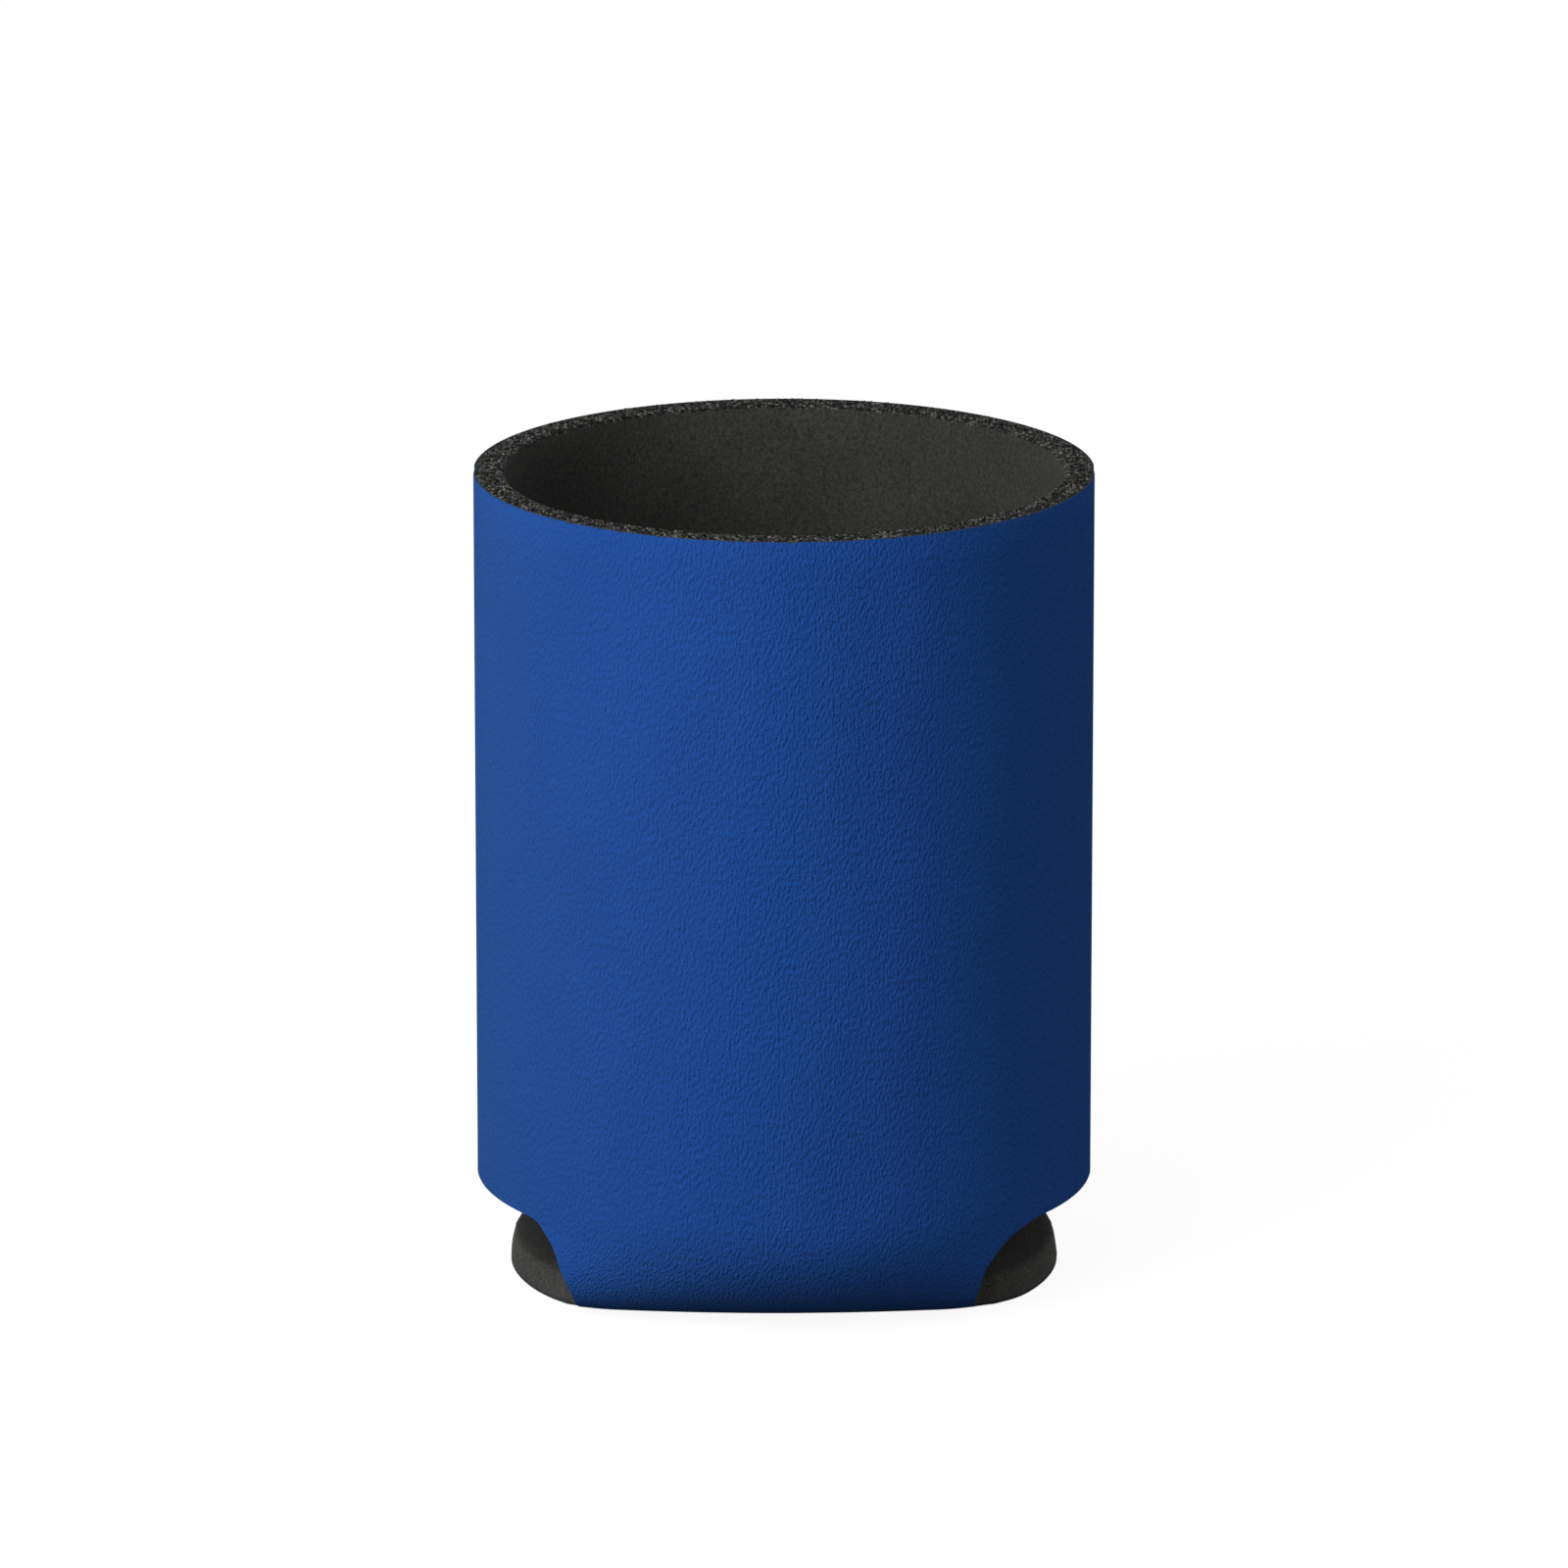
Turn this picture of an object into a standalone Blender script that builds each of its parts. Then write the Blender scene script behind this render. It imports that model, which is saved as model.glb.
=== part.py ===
"""Fold-flat can cooler sleeve: one die-cut blank of fabric-faced foam, folded under and seamed.

The blank lies flat as panel, tongue, round floor, tongue, panel. It is measured by two
lengths: s runs across it from its centre line, and t runs along it from the floor's centre,
negative towards the front. A third, depth, goes into the laminate from the fabric's face.
Folding lays the floor on the XY plane, turns the tongues up and rolls both panels into one
round wall whose edges meet at a butt seam on each side.

Metres, +Z up. The origin is the centre of the underside, and the front faces -Y.
"""

import math

import bmesh
import bpy
from mathutils import Vector
from mathutils.geometry import interpolate_bezier

# Laminate
BORE_DIAMETER = 0.0662
FOAM_THICKNESS = 0.0033
FACING_THICKNESS = 0.0003
BOND_GAP = 0.0001

# Wall
HEIGHT = 0.0973
SEAM_DIP = 0.0005
SEAM_DIP_WIDTH = 0.0018

# Folds, where a tongue turns up from the floor into the wall
FOLD_REACH = 0.0163
FOLD_HEIGHT = 0.0120

# Side notches, the tongues between them and the round floor with its two ears
NOTCH_HEIGHT = 0.0115
SHOULDER_WIDTH = 0.0730
SHOULDER_PULL = 0.0060
NECK_WIDTH = 0.0468
NECK_PULL = 0.0120
NECK_FILLET = 0.0012
FLOOR_INSET = 0.0003
EAR_LEAN = 0.0006

# Fineness of the facets
PANEL_COLUMNS = 48
FOLD_ROWS = 10
EDGE_STEPS = 14
ARC_CHORD = 0.0014

# Sizes that follow from those above
WALL = FACING_THICKNESS + BOND_GAP + FOAM_THICKNESS
OUTER_RADIUS = BORE_DIAMETER / 2 + WALL
FLOOR_RADIUS = BORE_DIAMETER / 2 - FLOOR_INSET
FLOOR_HALF_LENGTH = OUTER_RADIUS - FOLD_REACH
PANEL_HALF_WIDTH = OUTER_RADIUS * math.pi / 2
QUARTER_TURN = math.pi / 2

COLLECTION_NAME = "can_cooler_sleeve"
WELD_DISTANCE = 0.00001
NORMAL_STEP = 0.0001


def clear_scene():
    for obj in list(bpy.data.objects):
        bpy.data.objects.remove(obj)


def smooth(share):
    """0 to 1 with a level start and end."""
    share = max(0.0, min(1.0, share))
    return share * share * (3 - 2 * share)


def smooth_sign(share):
    """As smooth, with the sign of its argument."""
    return math.copysign(smooth(abs(share)), share)


def fold_length():
    """Length of blank that one fold takes up: a quarter of an ellipse, added up in short chords."""
    chords = 200
    points = [
        Vector((FOLD_REACH * math.sin(angle), FOLD_HEIGHT * (1 - math.cos(angle))))
        for angle in (QUARTER_TURN * i / chords for i in range(chords + 1))
    ]
    return sum((b - a).length for a, b in zip(points, points[1:]))


FOLD_LENGTH = fold_length()
BLANK_HALF_LENGTH = FLOOR_HALF_LENGTH + FOLD_LENGTH + HEIGHT - FOLD_HEIGHT


def along_at(height):
    """The t at which the folded blank has risen to this height."""
    if height >= FOLD_HEIGHT:
        return FLOOR_HALF_LENGTH + FOLD_LENGTH + height - FOLD_HEIGHT
    turn = math.acos(1 - height / FOLD_HEIGHT)
    return FLOOR_HALF_LENGTH + FOLD_LENGTH * turn / QUARTER_TURN


def face_point(s, t):
    """Where a point of the fabric's outer face lies once the blank is folded."""
    along = abs(t)
    side = math.copysign(1, t)
    wall_x = OUTER_RADIUS * math.sin(s / OUTER_RADIUS)
    wall_y = OUTER_RADIUS * math.cos(s / OUTER_RADIUS)
    turn = max(0.0, min(1.0, (along - FLOOR_HALF_LENGTH) / FOLD_LENGTH)) * QUARTER_TURN
    rise = max(0.0, along - FLOOR_HALF_LENGTH - FOLD_LENGTH)
    z = FOLD_HEIGHT * (1 - math.cos(turn)) + rise
    x = s + (wall_x - s) * smooth(z / NOTCH_HEIGHT)
    if along <= FLOOR_HALF_LENGTH:
        return Vector((x, t, z))
    reach = max(0.0, wall_y - FLOOR_HALF_LENGTH)
    y = wall_y - reach * (1 - math.sin(turn))
    return Vector((x, side * y, z))


def inward(s, t):
    """Unit vector from the fabric's outer face into the laminate."""
    across = face_point(s + NORMAL_STEP, t) - face_point(s - NORMAL_STEP, t)
    along = face_point(s, t + NORMAL_STEP) - face_point(s, t - NORMAL_STEP)
    return across.cross(along).normalized()


def folded_point(s, t, depth):
    """A point of the laminate after folding.

    The ears' cut edge leans in, so that they reach least at the top of the floor. The glued
    edges draw the outer face in, so that each seam is a shallow groove.
    """
    share = depth / WALL
    s -= EAR_LEAN * share * smooth_sign(s / FLOOR_RADIUS) * (1 - smooth(abs(t) / FLOOR_RADIUS))
    dip = SEAM_DIP * smooth(1 - (PANEL_HALF_WIDTH - abs(s)) / SEAM_DIP_WIDTH)
    return face_point(s, t) + inward(s, t) * (depth + dip * (1 - share))


def arc(centre, start, end):
    """Points on the shorter arc about centre from start to end, both included."""
    first = start - centre
    sweep = first.angle_signed(end - centre)
    steps = max(2, math.ceil(abs(sweep) * first.length / ARC_CHORD))
    angle = math.atan2(first.y, first.x)
    points = [start]
    for i in range(1, steps):
        turned = angle - sweep * i / steps
        points.append(centre + first.length * Vector((math.cos(turned), math.sin(turned))))
    return points + [end]


def quarter_outline():
    """Edge of the blank from a panel's corner, round one notch, to the middle of an ear."""
    notch_along = along_at(NOTCH_HEIGHT)
    panel_corner = Vector((PANEL_HALF_WIDTH, BLANK_HALF_LENGTH))
    seam_foot = Vector((PANEL_HALF_WIDTH, notch_along))
    shoulder = Vector((SHOULDER_WIDTH / 2, notch_along))

    floor_centre = Vector((0, 0))
    fillet_aside = NECK_WIDTH / 2 + NECK_FILLET
    fillet_along = math.sqrt((FLOOR_RADIUS + NECK_FILLET) ** 2 - fillet_aside**2)
    fillet_centre = Vector((fillet_aside, fillet_along))
    neck = Vector((NECK_WIDTH / 2, fillet_along))
    ear_root = fillet_centre.normalized() * FLOOR_RADIUS

    tongue_edge = interpolate_bezier(
        shoulder,
        shoulder - Vector((SHOULDER_PULL, 0)),
        neck + Vector((0, NECK_PULL)),
        neck,
        EDGE_STEPS + 1,
    )
    neck_fillet = arc(fillet_centre, neck, ear_root)
    ear = arc(floor_centre, ear_root, Vector((FLOOR_RADIUS, 0)))
    return [panel_corner, seam_foot] + tongue_edge + neck_fillet[1:] + ear[1:]


def blank_outline():
    """The whole edge of the blank: one quarter, mirrored to the other end and the other side."""
    quarter = quarter_outline()
    right = quarter + [Vector((p.x, -p.y)) for p in reversed(quarter[:-1])]
    left = [Vector((-p.x, p.y)) for p in reversed(right)]
    return right + left


def score(bm, place, normal):
    """A line across the flat blank, along which its faces are divided."""
    bmesh.ops.bisect_plane(
        bm,
        geom=bm.verts[:] + bm.edges[:] + bm.faces[:],
        dist=WELD_DISTANCE,
        plane_co=place,
        plane_no=normal,
    )


def flat_blank():
    """The cut blank as one flat layer, divided finely enough to roll and fold smoothly."""
    bm = bmesh.new()
    bm.faces.new([bm.verts.new((p.x, p.y, 0)) for p in blank_outline()])
    for column in range(1, PANEL_COLUMNS):
        s = PANEL_HALF_WIDTH * (2 * column / PANEL_COLUMNS - 1)
        score(bm, (s, 0, 0), (1, 0, 0))
    for side in (-1, 1):
        score(bm, (side * (PANEL_HALF_WIDTH - SEAM_DIP_WIDTH), 0, 0), (1, 0, 0))
        for row in range(FOLD_ROWS + 1):
            t = FLOOR_HALF_LENGTH + FOLD_LENGTH * row / FOLD_ROWS
            score(bm, (0, side * t, 0), (0, 1, 0))
    bmesh.ops.triangulate(bm, faces=bm.faces[:])
    return bm


def open_at_seams(bm):
    """Takes away the side faces along the panels' glued edges, so that the two panels can join."""
    at_seam = [
        face
        for face in bm.faces
        if all(abs(vert.co.x) > PANEL_HALF_WIDTH - WELD_DISTANCE for vert in face.verts)
    ]
    bmesh.ops.delete(bm, geom=at_seam, context="FACES_ONLY")


def folded_layer(top_depth, bottom_depth):
    """One layer of the laminate between two depths, folded up and joined at its seams."""
    bm = flat_blank()
    bottom = bmesh.ops.extrude_face_region(bm, geom=bm.faces[:], use_keep_orig=True)["geom"]
    bottom_verts = [item for item in bottom if isinstance(item, bmesh.types.BMVert)]
    bmesh.ops.translate(bm, verts=bottom_verts, vec=(0, 0, bottom_depth - top_depth))
    open_at_seams(bm)
    for vert in bm.verts:
        s, t, below_top = vert.co
        vert.co = folded_point(s, t, top_depth + below_top)
    bmesh.ops.remove_doubles(bm, verts=bm.verts[:], dist=WELD_DISTANCE)
    bmesh.ops.recalc_face_normals(bm, faces=bm.faces[:])
    return bm


def make_material(name, colour, roughness):
    material = bpy.data.materials.new(name)
    material.use_nodes = True
    material.diffuse_color = (*colour, 1)
    shader = material.node_tree.nodes["Principled BSDF"]
    shader.inputs["Base Color"].default_value = (*colour, 1)
    shader.inputs["Roughness"].default_value = roughness
    shader.inputs["Metallic"].default_value = 0
    return material


def add_part(name, bm, material, collection, parent):
    mesh = bpy.data.meshes.new(name)
    bm.to_mesh(mesh)
    bm.free()
    mesh.materials.append(material)
    mesh.shade_smooth()
    mesh.set_sharp_from_angle(angle=math.radians(35))
    part = bpy.data.objects.new(name, mesh)
    collection.objects.link(part)
    part.parent = parent
    return part


def build():
    clear_scene()
    collection = bpy.data.collections.new(COLLECTION_NAME)
    bpy.context.scene.collection.children.link(collection)
    origin = bpy.data.objects.new("underside_centre", None)
    collection.objects.link(origin)

    foam = make_material("charcoal_foam", (0.028, 0.028, 0.027), 0.95)
    fabric = make_material("royal_blue_fabric", (0.012, 0.055, 0.230), 0.75)
    foam_top = FACING_THICKNESS + BOND_GAP
    add_part("foam_body", folded_layer(foam_top, WALL), foam, collection, origin)
    add_part("fabric_facing", folded_layer(0, FACING_THICKNESS), fabric, collection, origin)


build()
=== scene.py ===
# %% [markdown]
# Fold-flat can cooler sleeve
#
# The real sleeve starts as one flat blank, die-cut from foam that has fabric bonded to one side.
# The blank is a panel, a tongue, a round floor, another tongue and another panel, all in a row.
# Folding it in half and joining the panels' sides makes a round sleeve with a floor and a notch at
# each side. This script cuts that blank again, finer than the frame's model does, folds it the same
# way, and then gives the foam and the fabric their finish.

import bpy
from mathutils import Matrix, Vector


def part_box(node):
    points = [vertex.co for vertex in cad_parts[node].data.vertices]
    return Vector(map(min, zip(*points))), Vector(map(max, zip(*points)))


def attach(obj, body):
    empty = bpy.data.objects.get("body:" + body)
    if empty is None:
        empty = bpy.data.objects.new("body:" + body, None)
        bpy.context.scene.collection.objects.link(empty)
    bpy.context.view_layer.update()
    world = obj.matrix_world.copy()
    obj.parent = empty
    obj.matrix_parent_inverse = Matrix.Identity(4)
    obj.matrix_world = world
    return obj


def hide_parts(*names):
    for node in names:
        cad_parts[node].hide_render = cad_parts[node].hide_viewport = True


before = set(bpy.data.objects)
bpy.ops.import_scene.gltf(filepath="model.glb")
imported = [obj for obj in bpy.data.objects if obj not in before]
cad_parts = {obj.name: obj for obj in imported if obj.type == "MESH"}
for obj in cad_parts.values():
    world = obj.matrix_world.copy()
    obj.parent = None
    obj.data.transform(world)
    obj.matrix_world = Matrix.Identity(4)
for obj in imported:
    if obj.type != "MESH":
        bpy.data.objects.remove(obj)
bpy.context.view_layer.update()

MM = 0.001

# %% [markdown]
# Every size is in metres. The sleeve's height and outer radius are read from the frame, so that the
# fine pieces keep to its size. A few lengths set the shape of the blank. A place on it has two
# measures: s runs across the blank from its centre line, and t runs along it from the middle of the
# floor, negative towards the front.

# %% Sizes of the blank
import math

import bmesh
import bpy
from mathutils import Matrix, Vector, noise
from mathutils.geometry import interpolate_bezier

FACING_LOW, FACING_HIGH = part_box("fabric_facing")
HEIGHT = FACING_HIGH.z - FACING_LOW.z
OUTER_RADIUS = (FACING_HIGH.y - FACING_LOW.y) / 2
FOAM_TOP = 0.3 * MM
WALL = 3.7 * MM
BORE_RADIUS = OUTER_RADIUS - WALL

FOLD_REACH = 16.1 * MM
FOLD_HEIGHT = 14.5 * MM
NOTCH_HEIGHT = 11.3 * MM
SHOULDER_WIDTH = 73.0 * MM
SHOULDER_PULL = 6.0 * MM
NECK_WIDTH = 46.8 * MM
NECK_PULL = 12.6 * MM
NECK_FILLET = 1.2 * MM
FLOOR_INSET = 0.3 * MM
EAR_LEAN = 0.6 * MM

FLOOR_RADIUS = BORE_RADIUS - FLOOR_INSET
FLOOR_HALF_LENGTH = OUTER_RADIUS - FOLD_REACH
PANEL_HALF_WIDTH = OUTER_RADIUS * math.pi / 2
QUARTER_TURN = math.pi / 2
print("outer radius", round(OUTER_RADIUS / MM, 2), "mm, height", round(HEIGHT / MM, 2), "mm")

# %% [markdown]
# A fold turns the blank up from the floor into the wall along a quarter of an ellipse. The length of
# blank that it takes up has no tidy formula, so it is added up from short chords. With it, the flat
# blank's full length is known too.

# %% Length of a fold
FOLD_CHORDS = 200


def fold_length():
    angles = [QUARTER_TURN * i / FOLD_CHORDS for i in range(FOLD_CHORDS + 1)]
    points = [Vector((FOLD_REACH * math.sin(a), FOLD_HEIGHT * (1 - math.cos(a)))) for a in angles]
    return sum((b - a).length for a, b in zip(points, points[1:]))


FOLD_LENGTH = fold_length()
BLANK_HALF_LENGTH = FLOOR_HALF_LENGTH + FOLD_LENGTH + HEIGHT - FOLD_HEIGHT
NOTCH_TURN = math.acos(1 - NOTCH_HEIGHT / FOLD_HEIGHT)
NOTCH_ALONG = FLOOR_HALF_LENGTH + FOLD_LENGTH * NOTCH_TURN / QUARTER_TURN
print("one fold takes", round(FOLD_LENGTH / MM, 2), "mm of the blank")

# %% [markdown]
# Two small helpers serve the shapes below. One eases a share from 0 to 1 with a level start and end,
# which keeps every blend free of kinks. The other puts points on an arc, as many as its length needs.

# %% Helpers for shapes
ARC_CHORD = 0.6 * MM


def smooth(share):
    """0 to 1 with a level start and end."""
    share = max(0.0, min(1.0, share))
    return share * share * (3 - 2 * share)


def arc(centre, start, end):
    """Points on the shorter arc about centre from start to end, both included."""
    first = start - centre
    sweep = first.angle_signed(end - centre)
    steps = max(2, math.ceil(abs(sweep) * first.length / ARC_CHORD))
    angle = math.atan2(first.y, first.x)
    turns = [angle - sweep * i / steps for i in range(1, steps)]
    between = [centre + first.length * Vector((math.cos(a), math.sin(a))) for a in turns]
    return [start] + between + [end]


# %% [markdown]
# The cut edge of one quarter of the blank starts at a panel's corner and runs down the panel's side
# to the notch. There it turns level, flares into the tongue, narrows to the neck and swings out round
# the floor's ear. The flare is one Bezier curve, the neck a small fillet and the ear an arc of the
# floor's circle. Mirroring the quarter twice gives the whole outline. A die never cuts quite true:
# the front tongue is cut a little to the left.

# %% Outline of the blank
FLARE_POINTS = 28
TONGUE_SHIFT = 1.1 * MM
SHIFT_RISE = 1.5 * MM
SHIFT_START = 30 * MM
SHIFT_FALL = 7 * MM
CM = 10 * MM


def tongue_shift(t):
    """How far the front tongue is cut to the left of the blank's centre line."""
    below_shoulder = smooth((NOTCH_ALONG + t) / SHIFT_RISE)
    above_neck = smooth((-t - SHIFT_START) / SHIFT_FALL)
    return -TONGUE_SHIFT * below_shoulder * above_neck


def quarter_outline():
    """Edge of the blank from a panel's corner, round one notch, to the middle of an ear."""
    panel_corner = Vector((PANEL_HALF_WIDTH, BLANK_HALF_LENGTH))
    seam_foot = Vector((PANEL_HALF_WIDTH, NOTCH_ALONG))
    shoulder = Vector((SHOULDER_WIDTH / 2, NOTCH_ALONG))
    fillet_aside = NECK_WIDTH / 2 + NECK_FILLET
    fillet_along = math.sqrt((FLOOR_RADIUS + NECK_FILLET) ** 2 - fillet_aside**2)
    fillet_centre = Vector((fillet_aside, fillet_along))
    neck = Vector((NECK_WIDTH / 2, fillet_along))
    ear_root = fillet_centre.normalized() * FLOOR_RADIUS
    flare = interpolate_bezier(
        shoulder,
        shoulder - Vector((SHOULDER_PULL, 0)),
        neck + Vector((0, NECK_PULL)),
        neck,
        FLARE_POINTS,
    )
    neck_fillet = arc(fillet_centre, neck, ear_root)
    ear = arc(Vector((0, 0)), ear_root, Vector((FLOOR_RADIUS, 0)))
    return [panel_corner, seam_foot] + flare + neck_fillet[1:] + ear[1:]


def blank_outline():
    """The whole edge of the blank: one quarter, mirrored to the other end and the other side."""
    quarter = quarter_outline()
    right = quarter + [Vector((p.x, -p.y)) for p in reversed(quarter[:-1])]
    outline = right + [Vector((-p.x, p.y)) for p in reversed(right)]
    return [Vector((p.x + tongue_shift(p.y), p.y)) for p in outline]


def area_inside(outline):
    """Area inside a closed outline, by the shoelace formula."""
    pairs = zip(outline, outline[1:] + outline[:1])
    return abs(sum(a.x * b.y - b.x * a.y for a, b in pairs)) / 2


BLANK_AREA = area_inside(blank_outline())
print("blank", round(2 * PANEL_HALF_WIDTH / MM), "x", round(2 * BLANK_HALF_LENGTH / MM), "mm")
print("cut area", round(BLANK_AREA / CM**2, 1), "square cm")

# %% [markdown]
# Folding is a formula too. It takes a place on the flat blank and a depth into the laminate, and
# gives the place in the finished sleeve. The floor stays flat, the tongues turn up, and the panels
# roll into half circles that meet at the sides. The depth is measured along the surface's own
# normal, which comes from two short steps on the surface. A modifier could bend a strip once, but
# this blank bends two ways at its tongues, and one formula keeps both layers parallel. A sleeve
# folded by hand isn't quite true either: its front tongue stands a millimetre to the left, and the
# floor's corners lift a little where the folds pull at them.

# %% Fold the blank
NORMAL_STEP = 0.1 * MM
SEAM_DIP = 0.3 * MM
SEAM_DIP_WIDTH = 1.8 * MM
TONGUE_SKEW = 1.1 * MM
SKEW_START = 16 * MM
SKEW_LENGTH = 12 * MM
CORNER_LIFT = 0.35 * MM
CORNER_ASIDE = 24.8 * MM
CORNER_WIDTH = 3.1 * MM
CORNER_ALONG = 21.5 * MM
CORNER_LENGTH = 6.0 * MM


def face_point(s, t):
    """Where a point of the fabric's outer face lies once the blank is folded."""
    along = abs(t)
    wall_x = OUTER_RADIUS * math.sin(s / OUTER_RADIUS)
    wall_y = OUTER_RADIUS * math.cos(s / OUTER_RADIUS)
    turn = max(0.0, min(1.0, (along - FLOOR_HALF_LENGTH) / FOLD_LENGTH)) * QUARTER_TURN
    z = FOLD_HEIGHT * (1 - math.cos(turn)) + max(0.0, along - FLOOR_HALF_LENGTH - FOLD_LENGTH)
    x = s + (wall_x - s) * smooth(z / NOTCH_HEIGHT)
    if along <= FLOOR_HALF_LENGTH:
        return Vector((x, t, z))
    reach = max(0.0, wall_y - FLOOR_HALF_LENGTH)
    side = math.copysign(1, t)
    return Vector((x, side * (wall_y - reach * (1 - math.sin(turn))), z))


def inward(s, t):
    """Unit vector from the fabric's outer face into the laminate."""
    across = face_point(s + NORMAL_STEP, t) - face_point(s - NORMAL_STEP, t)
    along = face_point(s, t + NORMAL_STEP) - face_point(s, t - NORMAL_STEP)
    return across.cross(along).normalized()


def tongue_skew(t):
    """How far the front tongue stands to the left of the blank's centre line."""
    leaves_floor = smooth((-t - SKEW_START) / SKEW_LENGTH)
    joins_wall = smooth((NOTCH_ALONG + t) / SKEW_LENGTH)
    return -TONGUE_SKEW * leaves_floor * joins_wall


def corner_lift(s, t):
    """How far the floor's four corners rise where the folds pull at them."""
    across = (abs(s) - CORNER_ASIDE) / CORNER_WIDTH
    along = (abs(t) - CORNER_ALONG) / CORNER_LENGTH
    return CORNER_LIFT * math.exp(-(across**2) - along**2)


def folded_point(s, t, depth):
    """A point of the laminate after folding, with the ears' lean and the groove at the seams."""
    share = depth / WALL
    lean = math.copysign(smooth(abs(s) / FLOOR_RADIUS), s) * (1 - smooth(abs(t) / FLOOR_RADIUS))
    s -= EAR_LEAN * share**2 * lean
    dip = SEAM_DIP * smooth(1 - (PANEL_HALF_WIDTH - abs(s)) / SEAM_DIP_WIDTH)
    place = face_point(s, t) + inward(s, t) * (depth + dip * (1 - share))
    return place + Vector((tongue_skew(t), 0, corner_lift(s, t)))


# %% [markdown]
# Each layer is cut as a flat slab first, because every operator is easier to aim there: the outline
# becomes one face, an extrusion gives it thickness, and a bevel rounds its cut edges the way a die
# leaves soft foam. Rows and columns of cuts then give the big faces enough points to bend smoothly.
# The cuts are closest in the folds, where the surface turns fastest.

# %% Cut a flat layer
COLUMNS = 96
FOLD_ROWS = 22
FLOOR_STEP = 2.5 * MM
WALL_STEP = 4.0 * MM
MERGE = 0.002 * MM
ROUNDING_SEGMENTS = 3


def cut_across(bm, place, normal):
    everything = bm.verts[:] + bm.edges[:] + bm.faces[:]
    bmesh.ops.bisect_plane(bm, geom=everything, dist=MERGE, plane_co=place, plane_no=normal)


def row_places():
    """Every t at which the blank is cut across, on the front half."""
    floor_rows = int(FLOOR_HALF_LENGTH / FLOOR_STEP)
    wall_start = FLOOR_HALF_LENGTH + FOLD_LENGTH
    wall_rows = int((BLANK_HALF_LENGTH - wall_start) / WALL_STEP)
    floor = [FLOOR_HALF_LENGTH * (i + 0.5) / floor_rows for i in range(floor_rows)]
    fold = [FLOOR_HALF_LENGTH + FOLD_LENGTH * i / FOLD_ROWS for i in range(FOLD_ROWS + 1)]
    wall = [
        wall_start + (BLANK_HALF_LENGTH - wall_start) * i / wall_rows for i in range(1, wall_rows)
    ]
    return floor + fold + wall


def round_edges_at(bm, z, rounding):
    rim = [edge for edge in bm.edges if all(abs(vert.co.z - z) < MERGE for vert in edge.verts)]
    bmesh.ops.bevel(
        bm,
        geom=rim,
        offset=rounding,
        segments=ROUNDING_SEGMENTS,
        profile=0.5,
        affect="EDGES",
        material=-1,
    )


def flat_layer(outline, thickness, outer_rounding, inner_rounding):
    bm = bmesh.new()
    face = bm.faces.new([bm.verts.new((p.x, p.y, 0)) for p in outline])
    bottom = bmesh.ops.extrude_face_region(bm, geom=[face], use_keep_orig=True)["geom"]
    bottom_verts = [item for item in bottom if isinstance(item, bmesh.types.BMVert)]
    bmesh.ops.translate(bm, verts=bottom_verts, vec=(0, 0, thickness))
    round_edges_at(bm, 0, outer_rounding)
    round_edges_at(bm, thickness, inner_rounding)
    for column in range(1, COLUMNS):
        s = PANEL_HALF_WIDTH * (2 * column / COLUMNS - 1)
        cut_across(bm, (s, 0, 0), (1, 0, 0))
    for row in row_places():
        cut_across(bm, (0, row, 0), (0, 1, 0))
        cut_across(bm, (0, -row, 0), (0, 1, 0))
    return bm


# %% [markdown]
# The flat places are kept as a UV map in millimetres before the layer is folded, so that the
# fabric's grain follows the cloth round every bend. Then each point goes through the folding formula.
# At the sides the two panels' edges now lie on each other: with the faces between them removed and
# the points merged, the foam becomes one closed ring, as the glue makes it.

# %% Fold a layer and turn it into a piece
UV_NAME = "blank_mm"
DEPTH_NAME = "depth_share"
MOST_CORNERS = 4
SMOOTH_ANGLE = math.radians(40)


def keep_flat_places(bm):
    uv_layer = bm.loops.layers.uv.new(UV_NAME)
    for face in bm.faces:
        for loop in face.loops:
            loop[uv_layer].uv = (loop.vert.co.x / MM, loop.vert.co.y / MM)


def fold_layer(bm, top_depth, thickness):
    depth_layer = bm.verts.layers.float.new(DEPTH_NAME)
    for vert in bm.verts:
        s, t, below_top = vert.co
        vert[depth_layer] = below_top / thickness
        vert.co = folded_point(s, t, top_depth + below_top)


def open_at_seams(bm):
    """Takes away the side faces along the panels' glued edges, so that the panels can join."""
    at_seam = [
        face
        for face in bm.faces
        if all(abs(vert.co.x) > PANEL_HALF_WIDTH - MERGE for vert in face.verts)
    ]
    bmesh.ops.delete(bm, geom=at_seam, context="FACES_ONLY")


def finished_piece(bm, name):
    big_faces = [face for face in bm.faces if len(face.verts) > MOST_CORNERS]
    bmesh.ops.triangulate(bm, faces=big_faces)
    bmesh.ops.recalc_face_normals(bm, faces=bm.faces[:])
    mesh = bpy.data.meshes.new(name)
    bm.to_mesh(mesh)
    bm.free()
    mesh.shade_smooth()
    mesh.set_sharp_from_angle(angle=SMOOTH_ANGLE)
    piece = bpy.data.objects.new(name, mesh)
    bpy.context.scene.collection.objects.link(piece)
    print(name, len(mesh.polygons), "faces")
    return piece


# %% [markdown]
# Foam never cuts quite flat. A few cuts through its thickness give the cut faces points of their own,
# and smooth noise pushes those in and out by a few hundredths of a millimetre. The rim is seen from
# low down, where granules that are only painted on look squashed. So its face is divided much finer,
# and a second, finer noise raises real granules there.

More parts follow.
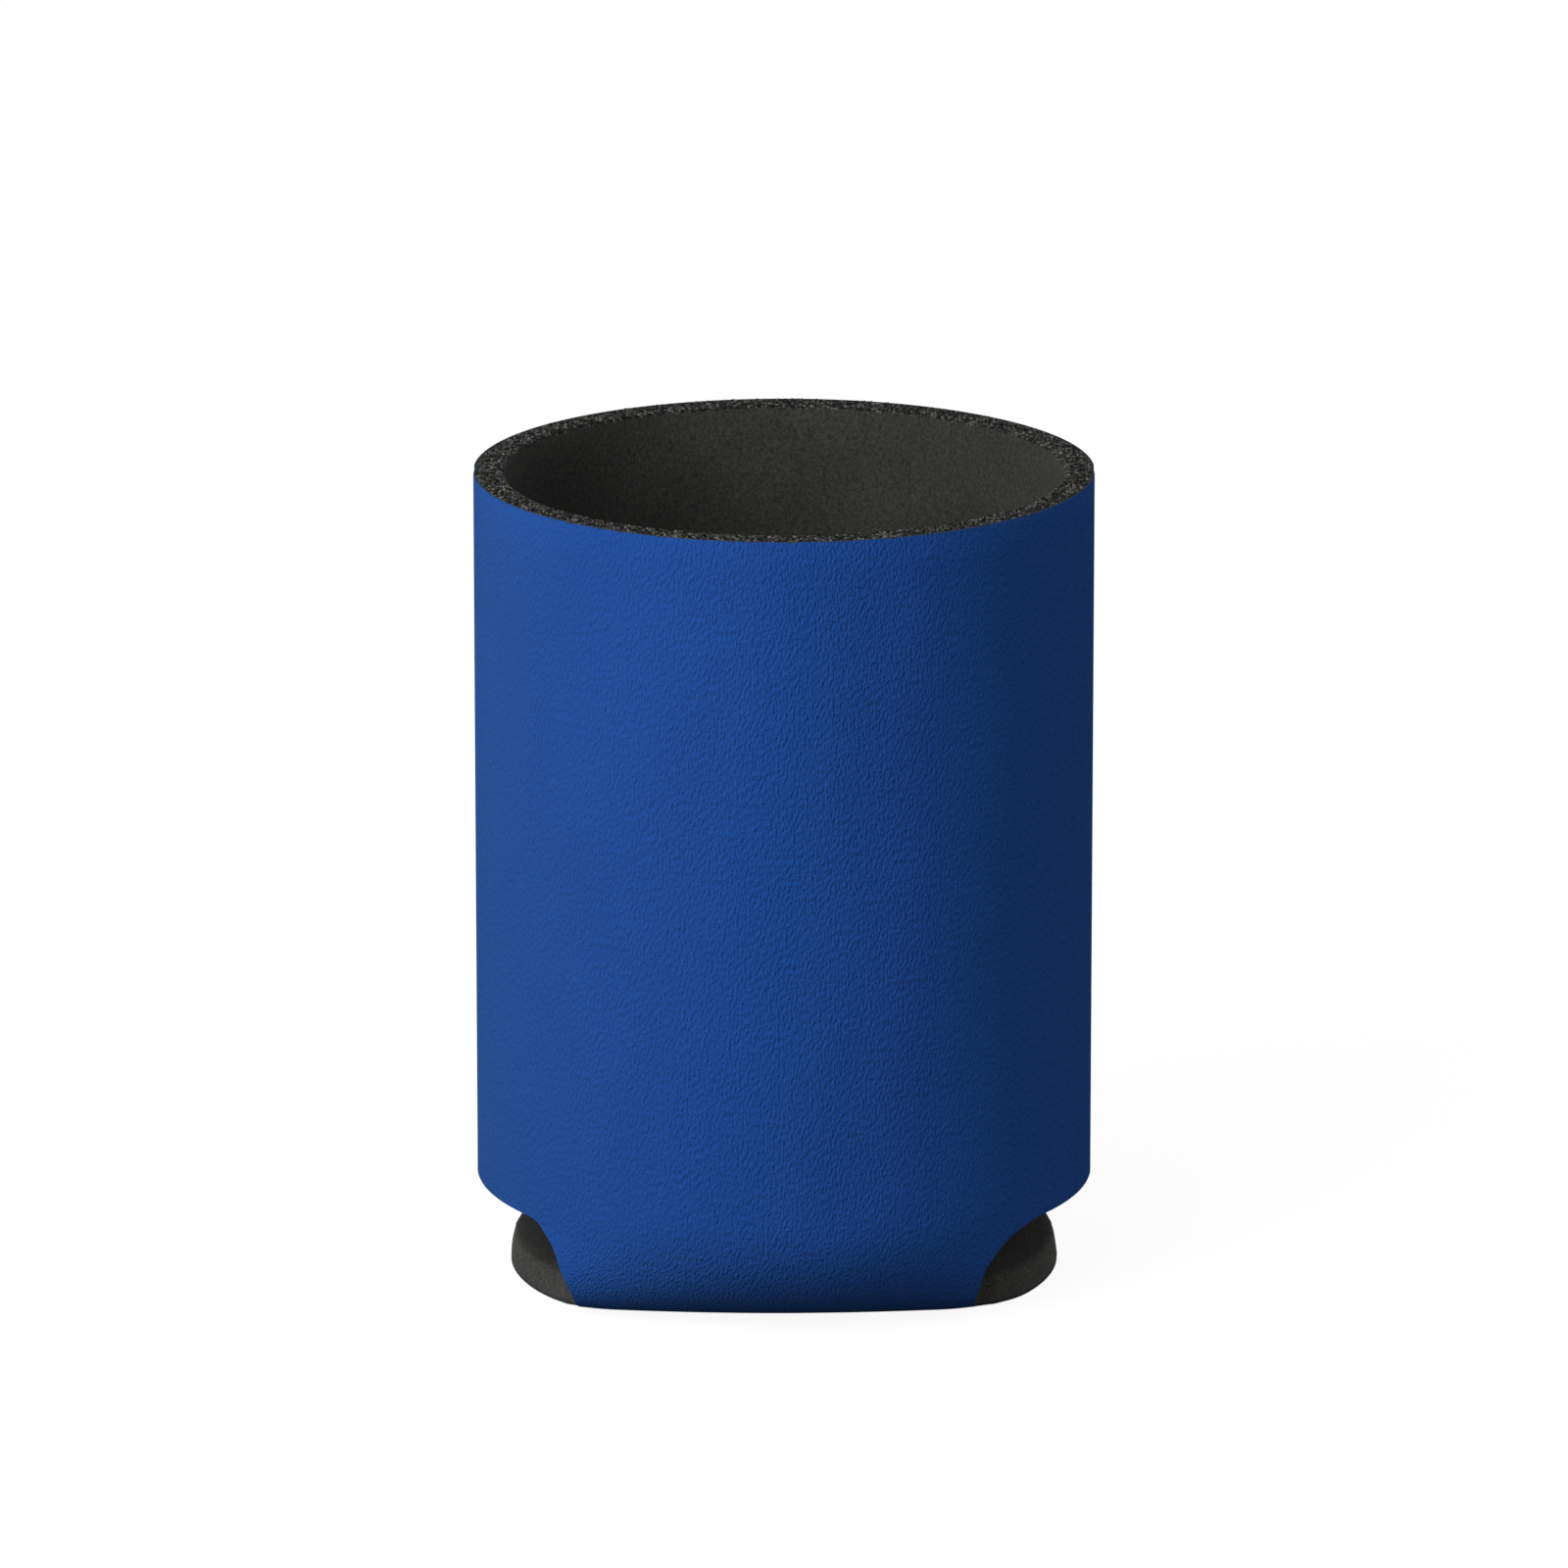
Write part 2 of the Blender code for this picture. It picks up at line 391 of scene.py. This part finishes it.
# %% Roughen the foam's cut faces
FOAM_OUTER_ROUNDING = 0.06 * MM
FOAM_INNER_ROUNDING = 0.50 * MM
CUT_LINES = 6
UNEVENNESS = 0.09 * MM
UNEVEN_SIZE = 1.4 * MM
RIM_CUTS_ACROSS = 13
RIM_CUTS_IN_DEPTH = 2
GRANULE_RISE = 0.19 * MM
GRANULE_SIZE = 0.30 * MM
GRANULE_CONTRAST = 2.0
GRANULE_FADE = 0.20 * MM


def on_rim(vert):
    return abs(vert.co.y) > BLANK_HALF_LENGTH - MERGE


def divide_rim(bm, axis, cuts):
    """Divides the two rim faces' edges that run along one axis."""
    rim = [edge for edge in bm.edges if all(on_rim(vert) for vert in edge.verts)]
    edges = [e for e in rim if abs(e.verts[0].co[axis] - e.verts[1].co[axis]) > MERGE]
    bmesh.ops.subdivide_edges(bm, edges=edges, cuts=cuts, use_grid_fill=True)


def granule_push(vert, thickness):
    """How far a granule stands out of the rim, fading to nothing at the rim's two edges."""
    from_inner_edge = thickness - FOAM_INNER_ROUNDING - vert.co.z
    from_edge = min(vert.co.z - FOAM_OUTER_ROUNDING, from_inner_edge)
    level = noise.noise(vert.co / GRANULE_SIZE) * GRANULE_CONTRAST
    level = max(-1.0, min(1.0, level))
    return level * GRANULE_RISE * smooth(from_edge / GRANULE_FADE)


def push_direction(vert):
    """Straight out of the cut, but never across the line where the two panels will meet."""
    near_seam = abs(vert.co.x) > PANEL_HALF_WIDTH - FOAM_INNER_ROUNDING
    return Vector((0 if near_seam else vert.normal.x, vert.normal.y, 0))


def roughen_cut_faces(bm, thickness):
    for line in range(1, CUT_LINES):
        cut_across(bm, (0, 0, thickness * line / CUT_LINES), (0, 0, 1))
    divide_rim(bm, 0, RIM_CUTS_ACROSS)
    divide_rim(bm, 2, RIM_CUTS_IN_DEPTH)
    bm.normal_update()
    for vert in bm.verts:
        on_cut = MERGE < vert.co.z < thickness - MERGE
        if on_cut and abs(vert.co.x) < PANEL_HALF_WIDTH - MERGE:
            push = noise.noise(vert.co / UNEVEN_SIZE) * UNEVENNESS
            if on_rim(vert):
                push += granule_push(vert, thickness)
            vert.co += push * push_direction(vert)


# %% [markdown]
# The foam is the sleeve's thick inner layer. It goes through the steps in order: cut flat, roughened,
# measured for its patterns, folded, and joined where its two panels meet.

# %% Make the foam
def make_foam():
    thickness = WALL - FOAM_TOP
    bm = flat_layer(blank_outline(), thickness, FOAM_OUTER_ROUNDING, FOAM_INNER_ROUNDING)
    roughen_cut_faces(bm, thickness)
    keep_flat_places(bm)
    open_at_seams(bm)
    fold_layer(bm, FOAM_TOP, thickness)
    bmesh.ops.remove_doubles(bm, verts=bm.verts[:], dist=MERGE)
    return finished_piece(bm, "foam_liner")


foam = make_foam()

# %% [markdown]
# The fabric is cut by the same outline. Its two side edges are held back by a hair, so that they meet
# in the groove as two edges and not as one skin.

# %% Make the fabric facing
FACING_THICKNESS = 0.28 * MM
FACING_ROUNDING = 0.08 * MM
SEAM_GAP = 0.10 * MM


def make_facing():
    edge = PANEL_HALF_WIDTH - SEAM_GAP
    outline = [Vector((max(-edge, min(edge, p.x)), p.y)) for p in blank_outline()]
    bm = flat_layer(outline, FACING_THICKNESS, FACING_ROUNDING, FACING_ROUNDING)
    keep_flat_places(bm)
    fold_layer(bm, 0, FACING_THICKNESS)
    return finished_piece(bm, "facing_fabric")


facing = make_facing()

# %% [markdown]
# Nodes are added many times below, so one short function adds a node with its settings and the
# values of its sockets, and another joins two sockets by name. A third joins two outputs in one math
# node, which most masks and shades need.

# %% Helpers for materials
WHITE = (1, 1, 1, 1)


def add_node(tree, kind, inputs=None, **settings):
    node = tree.nodes.new(kind)
    for name, value in settings.items():
        setattr(node, name, value)
    for name, value in (inputs or {}).items():
        node.inputs[name].default_value = value
    return node


def join(tree, source, output, target, socket):
    tree.links.new(source.outputs[output], target.inputs[socket])


def combine(tree, operation, first, second):
    """A math node fed by two outputs, each given as its node and its name."""
    node = add_node(tree, "ShaderNodeMath", operation=operation)
    join(tree, *first, node, 0)
    join(tree, *second, node, 1)
    return node


def new_material(name):
    material = bpy.data.materials.new(name)
    material.use_nodes = True
    tree = material.node_tree
    return material, tree, tree.nodes["Principled BSDF"]


# %% [markdown]
# Both materials need uneven values, once over wide patches and once as a fine grain. One shader
# group does both: it stretches a noise texture's middle range to run from Low to High.

# %% Shared group of uneven values
UNEVEN_SOCKETS = {"Scale": 1.0, "Detail": 2.0, "Low": 0.0, "High": 1.0}
NOISE_LOW = 0.30
NOISE_HIGH = 0.70


def make_uneven_group():
    tree = bpy.data.node_groups.new("uneven", "ShaderNodeTree")
    tree.interface.new_socket("Vector", in_out="INPUT", socket_type="NodeSocketVector")
    for name, value in UNEVEN_SOCKETS.items():
        socket = tree.interface.new_socket(name, in_out="INPUT", socket_type="NodeSocketFloat")
        socket.default_value = value
    tree.interface.new_socket("Value", in_out="OUTPUT", socket_type="NodeSocketFloat")
    start = tree.nodes.new("NodeGroupInput")
    end = tree.nodes.new("NodeGroupOutput")
    texture = add_node(tree, "ShaderNodeTexNoise", {"Roughness": 0.5})
    middle = {"From Min": NOISE_LOW, "From Max": NOISE_HIGH}
    spread = add_node(tree, "ShaderNodeMapRange", middle)
    join(tree, start, "Vector", texture, "Vector")
    join(tree, start, "Scale", texture, "Scale")
    join(tree, start, "Detail", texture, "Detail")
    join(tree, texture, "Fac", spread, "Value")
    join(tree, start, "Low", spread, "To Min")
    join(tree, start, "High", spread, "To Max")
    join(tree, spread, "Result", end, "Value")
    return tree


uneven_group = make_uneven_group()
print("group", uneven_group.name, "with", len(uneven_group.nodes), "nodes")


def add_uneven(tree, place, output, values):
    """The shared group with its own values, reading the pattern's place from one output."""
    node = add_node(tree, "ShaderNodeGroup", values, node_tree=uneven_group)
    join(tree, place, output, node, "Vector")
    return node


# %% [markdown]
# Cut foam shows as granules, and their colour is painted light. Each cell wall left standing gets a
# painted highlight of its own strength, with painted shade in the pit between it and the next. A
# Voronoi texture has both, a random value for each cell and the distance from its middle. The freshly
# sliced rim is coarse. The ears' edges and the inside are pressed smoother, so the granules end below
# the rim and a finer, fainter grain takes over.

# %% Granules and skin of the foam, with painted light and painted shade
COARSE_DOWN_TO = 0.25 * MM
COARSE_GONE_AT = 0.55 * MM
CELLS_PER_M = 2400.0
# The granules' power, gain and base paint a highlight on each cell; the pits' level is painted shade.
GRANULE_POWER = 2.0
GRANULE_PAINTED_GLINT = 3.0
GRANULE_BASE = 0.25
PIT_START = 0.30
PIT_END = 0.75
PIT_PAINTED_SHADE = 0.05
# Painted light on the cut faces turns into painted shade on the inner skin over these depths.
SKIN_SHADE_START = 0.82
SKIN_SHADE_END = 0.98
CUT_PAINTED_LIGHT = 1.06
SKIN_PAINTED_SHADE = 0.74


def add_coarse_mask(tree, place):
    """1 on the rim's cut face and its granules, and 0 below them."""
    height = add_node(tree, "ShaderNodeSeparateXYZ")
    join(tree, place, "Object", height, "Vector")
    heights = {"From Min": HEIGHT - COARSE_GONE_AT, "From Max": HEIGHT - COARSE_DOWN_TO}
    coarse = add_node(tree, "ShaderNodeMapRange", heights)
    join(tree, height, "Z", coarse, "Value")
    return coarse


def add_painted_granule_light(tree, place):
    """Painted light on the cut foam: rare bright granules, many dull ones, and painted shade in pits.
    """
    cells = add_node(tree, "ShaderNodeTexVoronoi", {"Scale": CELLS_PER_M, "Randomness": 1.0})
    join(tree, place, "Object", cells, "Vector")
    granule = add_node(tree, "ShaderNodeSeparateColor")
    join(tree, cells, "Color", granule, "Color")
    rare = add_node(tree, "ShaderNodeMath", {1: GRANULE_POWER}, operation="POWER")
    join(tree, granule, "Red", rare, 0)
    levels = {1: GRANULE_PAINTED_GLINT, 2: GRANULE_BASE}
    level = add_node(tree, "ShaderNodeMath", levels, operation="MULTIPLY_ADD")
    join(tree, rare, "Value", level, 0)
    # Painted shade in the pit at each cell's edge.
    pit_range = {"From Min": PIT_START, "From Max": PIT_END, "To Min": 1.0, "To Max": PIT_PAINTED_SHADE}
    pit = add_node(tree, "ShaderNodeMapRange", pit_range)
    join(tree, cells, "Distance", pit, "Value")
    return combine(tree, "MULTIPLY", (level, "Value"), (pit, "Result"))


def add_painted_skin_shade(tree):
    """Painted shade on the foam's inner skin and painted light on its cut faces, set by depth."""
    depth = add_node(tree, "ShaderNodeAttribute", attribute_name=DEPTH_NAME)
    depths = {"From Min": SKIN_SHADE_START, "From Max": SKIN_SHADE_END}
    levels = {"To Min": CUT_PAINTED_LIGHT, "To Max": SKIN_PAINTED_SHADE}
    level = add_node(tree, "ShaderNodeMapRange", {**depths, **levels})
    join(tree, depth, "Fac", level, "Value")
    return level


# %% [markdown]
# The foam has one dark grey, and everything else scales it: granules with their painted highlights
# and pit shade, or fine grain, wide patches, and painted light on the cut faces with painted shade on
# the inner skin. The same grain lifts a faint bump, so that it catches the light as well. A picture
# of foam could do this too, but it would need a map of the piece and couldn't follow its sizes.

# %% Foam material
FOAM_GREY = (0.040, 0.040, 0.038)
FINE_GRAIN = {"Scale": 2800.0, "Detail": 2.0, "Low": 0.60, "High": 1.30}
FOAM_PATCHES = {"Scale": 90.0, "Detail": 2.0, "Low": 0.88, "High": 1.12}
FOAM_ROUGHNESS = {"Scale": 1500.0, "Detail": 1.0, "Low": 0.88, "High": 1.0}
FOAM_BUMP = {"Strength": 0.6, "Distance": 0.04 * MM}
FOAM_GLOSS = 0.1


def make_foam_material():
    material, tree, shader = new_material("charcoal_foam")
    place = add_node(tree, "ShaderNodeTexCoord")
    coarse = add_coarse_mask(tree, place)
    granules = add_painted_granule_light(tree, place)
    fine = add_uneven(tree, place, "Object", FINE_GRAIN)
    grain = add_node(tree, "ShaderNodeMix", data_type="FLOAT")
    join(tree, coarse, "Result", grain, "Factor")
    join(tree, fine, "Value", grain, "A")
    join(tree, granules, "Value", grain, "B")

    patch = add_uneven(tree, place, "Object", FOAM_PATCHES)
    shade = combine(tree, "MULTIPLY", (grain, "Result"), (patch, "Value"))
    # Painted shade on the inner skin and painted light on the cut faces.
    skin = combine(tree, "MULTIPLY", (shade, "Value"), (add_painted_skin_shade(tree), "Result"))
    colour = add_node(tree, "ShaderNodeVectorMath", {"Vector": FOAM_GREY}, operation="SCALE")
    join(tree, skin, "Value", colour, "Scale")
    join(tree, colour, "Vector", shader, "Base Color")

    rough = add_uneven(tree, place, "Object", FOAM_ROUGHNESS)
    join(tree, rough, "Value", shader, "Roughness")
    bump = add_node(tree, "ShaderNodeBump", FOAM_BUMP)
    join(tree, grain, "Result", bump, "Height")
    join(tree, bump, "Normal", shader, "Normal")
    shader.inputs["Specular IOR Level"].default_value = FOAM_GLOSS
    return material


foam.data.materials.append(make_foam_material())
print(foam.name, "wears", foam.data.materials[0].name)

# %% [markdown]
# Where the fabric is cut, its very edge takes the dark foam's colour. Two masks find those places: one
# reads how far along the blank a point lies and wavers a little, as threads do at the rim, and the
# other reads how deep it lies in the cloth.

# %% Cut edges of the fabric
EDGE_FRINGE_MM = 0.02
EDGE_SOFT_MM = 0.04
EDGE_RAGGED_MM = 0.12
RAGGED_EDGE = {"Scale": 2.2, "Detail": 1.0, "Low": -EDGE_RAGGED_MM, "High": EDGE_RAGGED_MM}
CUT_DEPTHS = {"From Min": 0.03, "From Max": 0.15}


def add_rim_mask(tree, place):
    """1 on the last hair of fabric at the rim, a little raggedly, and 0 below it."""
    axes = add_node(tree, "ShaderNodeSeparateXYZ")
    join(tree, place, "UV", axes, "Vector")
    along = add_node(tree, "ShaderNodeMath", operation="ABSOLUTE")
    join(tree, axes, "Y", along, 0)
    ragged = add_uneven(tree, place, "UV", RAGGED_EDGE)
    reach = combine(tree, "ADD", (along, "Value"), (ragged, "Value"))
    edge_at = BLANK_HALF_LENGTH / MM - EDGE_FRINGE_MM
    fringe = {"From Min": edge_at - EDGE_SOFT_MM, "From Max": edge_at + EDGE_SOFT_MM}
    mask = add_node(tree, "ShaderNodeMapRange", fringe)
    join(tree, reach, "Value", mask, "Value")
    return mask


def add_cut_mask(tree):
    """0 on the fabric's face, and 1 on its cut sides and its back."""
    depth = add_node(tree, "ShaderNodeAttribute", attribute_name=DEPTH_NAME)
    mask = add_node(tree, "ShaderNodeMapRange", CUT_DEPTHS)
    join(tree, depth, "Fac", mask, "Value")
    return mask


# %% [markdown]
# The fabric is a fine brushed knit with a pebbled grain, about twice as tall as wide. It is nearly
# all relief: light from the side picks it out, and light from straight ahead hides it. So the noise
# goes to the bump strongly and to the colour only faintly. The grain reads the blank's millimetres,
# so it follows the cloth under the fold. A faint sheen stands for the nap that brushing leaves.

# %% Fabric material
FABRIC_BLUE = (0.0080, 0.0480, 0.2290)
EDGE_DARK = (0.020, 0.020, 0.020, 1)
GRAIN_ACROSS = 3.3
GRAIN_ALONG = 1.5
PEBBLE_GRAIN = {"Scale": 1.0, "Detail": 1.5, "Low": 0.0, "High": 1.0}
PEBBLE_BUMP = {"Strength": 1.0, "Distance": 0.15 * MM}
PEBBLE_TINT = {"To Min": 0.93, "To Max": 1.07}
FABRIC_PATCHES = {"Scale": 0.05, "Detail": 3.0, "Low": 0.96, "High": 1.04}
FABRIC_ROUGHNESS = {"Scale": 0.5, "Detail": 1.0, "Low": 0.70, "High": 0.90}
FABRIC_GLOSS = 0.0
SHEEN_WEIGHT = 0.06
SHEEN_ROUGHNESS = 0.75
SHEEN_TINT = (0.40, 0.75, 0.9, 1)


def make_fabric_material():
    material, tree, shader = new_material("royal_blue_fabric")
    place = add_node(tree, "ShaderNodeUVMap", uv_map=UV_NAME)
    stretch = add_node(tree, "ShaderNodeMapping", {"Scale": (GRAIN_ACROSS, GRAIN_ALONG, 1)})
    join(tree, place, "UV", stretch, "Vector")
    grain = add_uneven(tree, stretch, "Vector", PEBBLE_GRAIN)
    bump = add_node(tree, "ShaderNodeBump", PEBBLE_BUMP)
    join(tree, grain, "Value", bump, "Height")
    join(tree, bump, "Normal", shader, "Normal")

    tint = add_node(tree, "ShaderNodeMapRange", PEBBLE_TINT)
    join(tree, grain, "Value", tint, "Value")
    patch = add_uneven(tree, place, "UV", FABRIC_PATCHES)
    shade = combine(tree, "MULTIPLY", (tint, "Result"), (patch, "Value"))
    blue = add_node(tree, "ShaderNodeVectorMath", {"Vector": FABRIC_BLUE}, operation="SCALE")
    join(tree, shade, "Value", blue, "Scale")

    masks = (add_rim_mask(tree, place), "Result"), (add_cut_mask(tree), "Result")
    at_edge = combine(tree, "MAXIMUM", *masks)
    colour = add_node(tree, "ShaderNodeMix", {"B": EDGE_DARK}, data_type="RGBA")
    join(tree, at_edge, "Value", colour, "Factor")
    join(tree, blue, "Vector", colour, "A")
    join(tree, colour, "Result", shader, "Base Color")

    rough = add_uneven(tree, stretch, "Vector", FABRIC_ROUGHNESS)
    join(tree, rough, "Value", shader, "Roughness")
    shader.inputs["Specular IOR Level"].default_value = FABRIC_GLOSS
    shader.inputs["Sheen Weight"].default_value = SHEEN_WEIGHT
    shader.inputs["Sheen Roughness"].default_value = SHEEN_ROUGHNESS
    shader.inputs["Sheen Tint"].default_value = SHEEN_TINT
    return material


facing.data.materials.append(make_fabric_material())
print(facing.name, "wears", facing.data.materials[0].name)

# %% [markdown]
# The two new pieces stand for the frame's two nodes.

# %% Tie the pieces to the frame
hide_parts("foam_body")
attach(foam, "root")

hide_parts("fabric_facing")
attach(facing, "root")

# %% [markdown]
# The floor is a wide plane of white paper. White lit by the lamps alone would need far more light than
# the sleeve should get, so the camera sees it with a light of its own, and the sleeve's shadow still
# falls on it. To soft light it is a dull grey, which throws little light back up at the sleeve.

# %% Floor
FLOOR_SIZE = 8.0
FLOOR_GAP = 0.02 * MM
FLOOR_COLOUR = (0.11, 0.11, 0.11, 1)
FLOOR_ROUGHNESS = 0.9
FLOOR_GLOSS = 0.0
FLOOR_GLOW = 0.918


def add_seen_mask(tree):
    """1 for rays that the camera, a gloss or a clear piece sends out, and 0 for soft light."""
    path = add_node(tree, "ShaderNodeLightPath")
    seen = combine(tree, "MAXIMUM", (path, "Is Camera Ray"), (path, "Is Glossy Ray"))
    return combine(tree, "MAXIMUM", (seen, "Value"), (path, "Is Transmission Ray"))


def make_paper():
    material, tree, shader = new_material("white_paper")
    glow = add_node(tree, "ShaderNodeMath", {1: FLOOR_GLOW}, operation="MULTIPLY")
    join(tree, add_seen_mask(tree), "Value", glow, 0)
    join(tree, glow, "Value", shader, "Emission Strength")
    shader.inputs["Emission Color"].default_value = WHITE
    shader.inputs["Base Color"].default_value = FLOOR_COLOUR
    shader.inputs["Roughness"].default_value = FLOOR_ROUGHNESS
    shader.inputs["Specular IOR Level"].default_value = FLOOR_GLOSS
    return material


def make_floor():
    bm = bmesh.new()
    bmesh.ops.create_grid(bm, x_segments=1, y_segments=1, size=FLOOR_SIZE)
    mesh = bpy.data.meshes.new("paper_floor")
    bm.to_mesh(mesh)
    bm.free()
    mesh.transform(Matrix.Translation((0, 0, -FLOOR_GAP)))
    mesh.materials.append(make_paper())
    floor = bpy.data.objects.new("paper_floor", mesh)
    bpy.context.scene.collection.objects.link(floor)


make_floor()
print("floor", 2 * FLOOR_SIZE, "m wide")

# %% [markdown]
# The light comes from the front left, over an even base from the world. It is shared by two lamps.
# A sun lamp lights the whole floor alike, which keeps the background even, and its angle sets how
# soft the shadow is. A small lamp near the sleeve adds about as much again on the sleeve alone, and
# a little more at its top than at its foot.

# %% Lamps
KEY_DIRECTION = Vector((-0.565, -0.695, 0.445))
KEY_STRENGTH = 0.95
KEY_ANGLE = math.radians(45)
NEAR_LAMP_PLACE = Vector((-0.22, -0.22, 0.23))
NEAR_LAMP_SIZE = 0.22
NEAR_LAMP_WATTS = 0.96


def add_lamp(name, kind, energy, place, **settings):
    """A lamp at place that shines on the origin."""
    lamp = bpy.data.lights.new(name, kind)
    lamp.energy = energy
    for setting, value in settings.items():
        setattr(lamp, setting, value)
    holder = bpy.data.objects.new(name, lamp)
    holder.location = place
    holder.rotation_euler = (-place).to_track_quat("-Z", "Y").to_euler()
    bpy.context.scene.collection.objects.link(holder)
    print(name, kind.lower(), energy)


near_lamp = {"shape": "DISK", "size": NEAR_LAMP_SIZE}
add_lamp("key_front_left", "SUN", KEY_STRENGTH, KEY_DIRECTION, angle=KEY_ANGLE)
add_lamp("near_lamp", "AREA", NEAR_LAMP_WATTS, NEAR_LAMP_PLACE, **near_lamp)

# %% [markdown]
# The world is white to whatever looks at it straight or in a gloss. The light that it gives to the
# sleeve is a plain even level below that, which fills the sides that the lamps leave dark.

# %% World
WORLD_STRENGTH = 0.66


def make_world():
    world = bpy.data.worlds.new("plain_light")
    world.use_nodes = True
    tree = world.node_tree
    backdrop = tree.nodes["Background"]
    backdrop.inputs["Color"].default_value = WHITE
    levels = {"To Min": WORLD_STRENGTH, "To Max": 1.0}
    strength = add_node(tree, "ShaderNodeMapRange", levels)
    join(tree, add_seen_mask(tree), "Value", strength, "Value")
    join(tree, strength, "Result", backdrop, "Strength")
    bpy.context.scene.world = world


make_world()
print("world", WORLD_STRENGTH)

# %% [markdown]
# The camera stands far back with a long lens, which keeps the sleeve's sides nearly parallel, and
# looks down by about fifteen degrees, so that the rim shows as a flat ellipse. The Standard view
# shows each colour as it is written.

# %% Camera
CAMERA_DISTANCE = 1.5
CAMERA_ELEVATION = math.radians(14.8)
LOOK_HEIGHT = 58.7 * MM
FRAME_PIXELS = 1600
FOCAL_PIXELS = 12850
SENSOR_MM = 36.0

camera_data = bpy.data.cameras.new("photo_camera")
camera_data.sensor_width = SENSOR_MM
camera_data.lens = SENSOR_MM * FOCAL_PIXELS / FRAME_PIXELS
camera = bpy.data.objects.new("photo_camera", camera_data)
back = Vector((0, -math.cos(CAMERA_ELEVATION), math.sin(CAMERA_ELEVATION)))
camera.location = Vector((0, 0, LOOK_HEIGHT)) + back * CAMERA_DISTANCE
camera.rotation_euler = (-back).to_track_quat("-Z", "Y").to_euler()
bpy.context.scene.collection.objects.link(camera)
bpy.context.scene.camera = camera
bpy.context.scene.view_settings.view_transform = "Standard"
print("lens", round(camera_data.lens), "mm")
